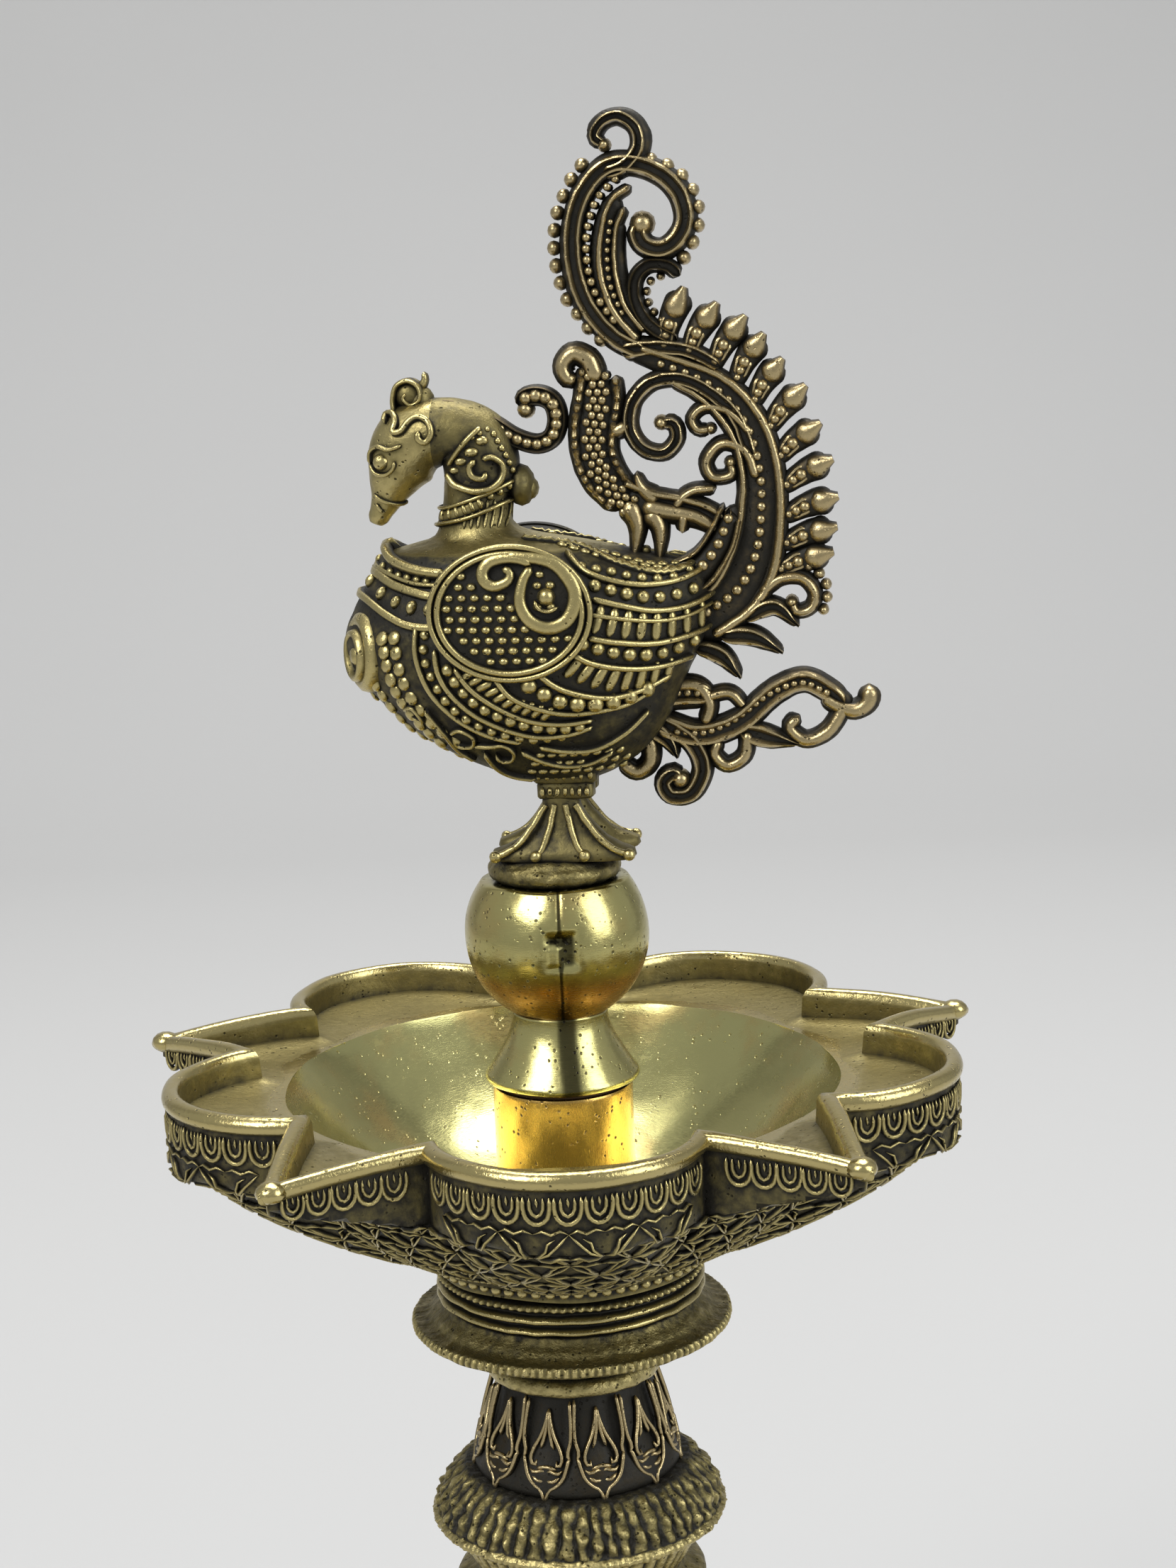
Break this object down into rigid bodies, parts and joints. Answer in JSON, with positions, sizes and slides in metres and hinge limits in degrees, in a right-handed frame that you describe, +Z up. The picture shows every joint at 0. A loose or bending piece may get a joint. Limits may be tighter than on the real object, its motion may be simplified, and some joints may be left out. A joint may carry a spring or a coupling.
{
  "type": "standing oil lamp",
  "caption": "Standing brass oil lamp with a lobed, spouted oil bowl on a turned stem and a screwed-on peacock finial with an openwork tail.",
  "frame": {"origin": "centre of the foot's flat face, on the surface that the lamp stands on", "axes": "+Z up along the stem, -X the way the bird looks, -Y towards the lobe between two spouts"},
  "size_m": [0.116, 0.116, 0.3049],
  "materials": {
    "antique_brass": "cast brass with a dark olive patina in the hollows and worn ridges",
    "copper_brass": "cast brass with a copper-brown patina",
    "dark_brass": "cast brass with a heavy dark patina",
    "cast_brass": "turned brass with a granular cast skin",
    "worn_brass": "pale polished brass with dark pits and an orange-brown bloom",
    "bowl_brass": "bright polished brass inside, patinated ornament outside",
    "golden_sleeve": "polished golden brass",
    "hardware_brass": "machined brass",
    "seal_washer": "pressed fibre washer",
    "steel_rod": "plain drawn steel rod"
  },
  "bodies": {
    "stand": {"base_foot": "antique_brass", "base_washer": "hardware_brass", "base_nut": "hardware_brass", "tie_rod": "steel_rod", "lower_knop": "antique_brass", "stem_column": "antique_brass", "stem_ring": "antique_brass", "dome_tier": "antique_brass", "ribbed_dome": "antique_brass", "lotus_bell": "dark_brass", "upper_collar": "cast_brass", "drip_disc": "cast_brass", "neck_ring": "cast_brass"},
    "bowl_seal": {"bowl_washer": "seal_washer"},
    "bowl": {"oil_bowl": "bowl_brass", "centre_sleeve": "golden_sleeve"},
    "finial_seal": {"finial_washer": "seal_washer"},
    "finial": {"finial_screw": "hardware_brass", "cone_neck": "worn_brass", "ball_knop": "worn_brass", "perch_disc": "cast_brass", "left_leg": "antique_brass", "right_leg": "antique_brass", "peacock_body": "antique_brass", "peacock_head": "antique_brass", "crest": "copper_brass", "left_wing_boss": "antique_brass", "right_wing_boss": "antique_brass", "left_breast_boss": "antique_brass", "right_breast_boss": "antique_brass", "tail_plume": "copper_brass", "tail_bracket": "copper_brass", "tail_spray": "copper_brass"}
  },
  "joints": [
    {"name": "bowl_lift", "type": "slide", "parent": "stand", "child": "bowl_seal", "axis": [0, 0, 1], "range_m": [0, 0.0076]},
    {"name": "bowl_turn", "type": "hinge", "parent": "bowl_seal", "child": "bowl", "pos_m": [0, 0, 0.162], "axis": [0, 0, 1], "range_deg": [0, 2160]},
    {"name": "finial_lift", "type": "slide", "parent": "bowl", "child": "finial_seal", "axis": [0, 0, 1], "range_m": [0, 0.012]},
    {"name": "finial_turn", "type": "hinge", "parent": "finial_seal", "child": "finial", "pos_m": [0, 0, 0.1856], "axis": [0, 0, 1], "range_deg": [0, 3240]}
  ],
  "couplings": [
    {"joint": "bowl_lift", "follows": "bowl_turn", "m_per_rad": 0.00019894},
    {"joint": "finial_lift", "follows": "finial_turn", "m_per_rad": 0.00019894}
  ]
}
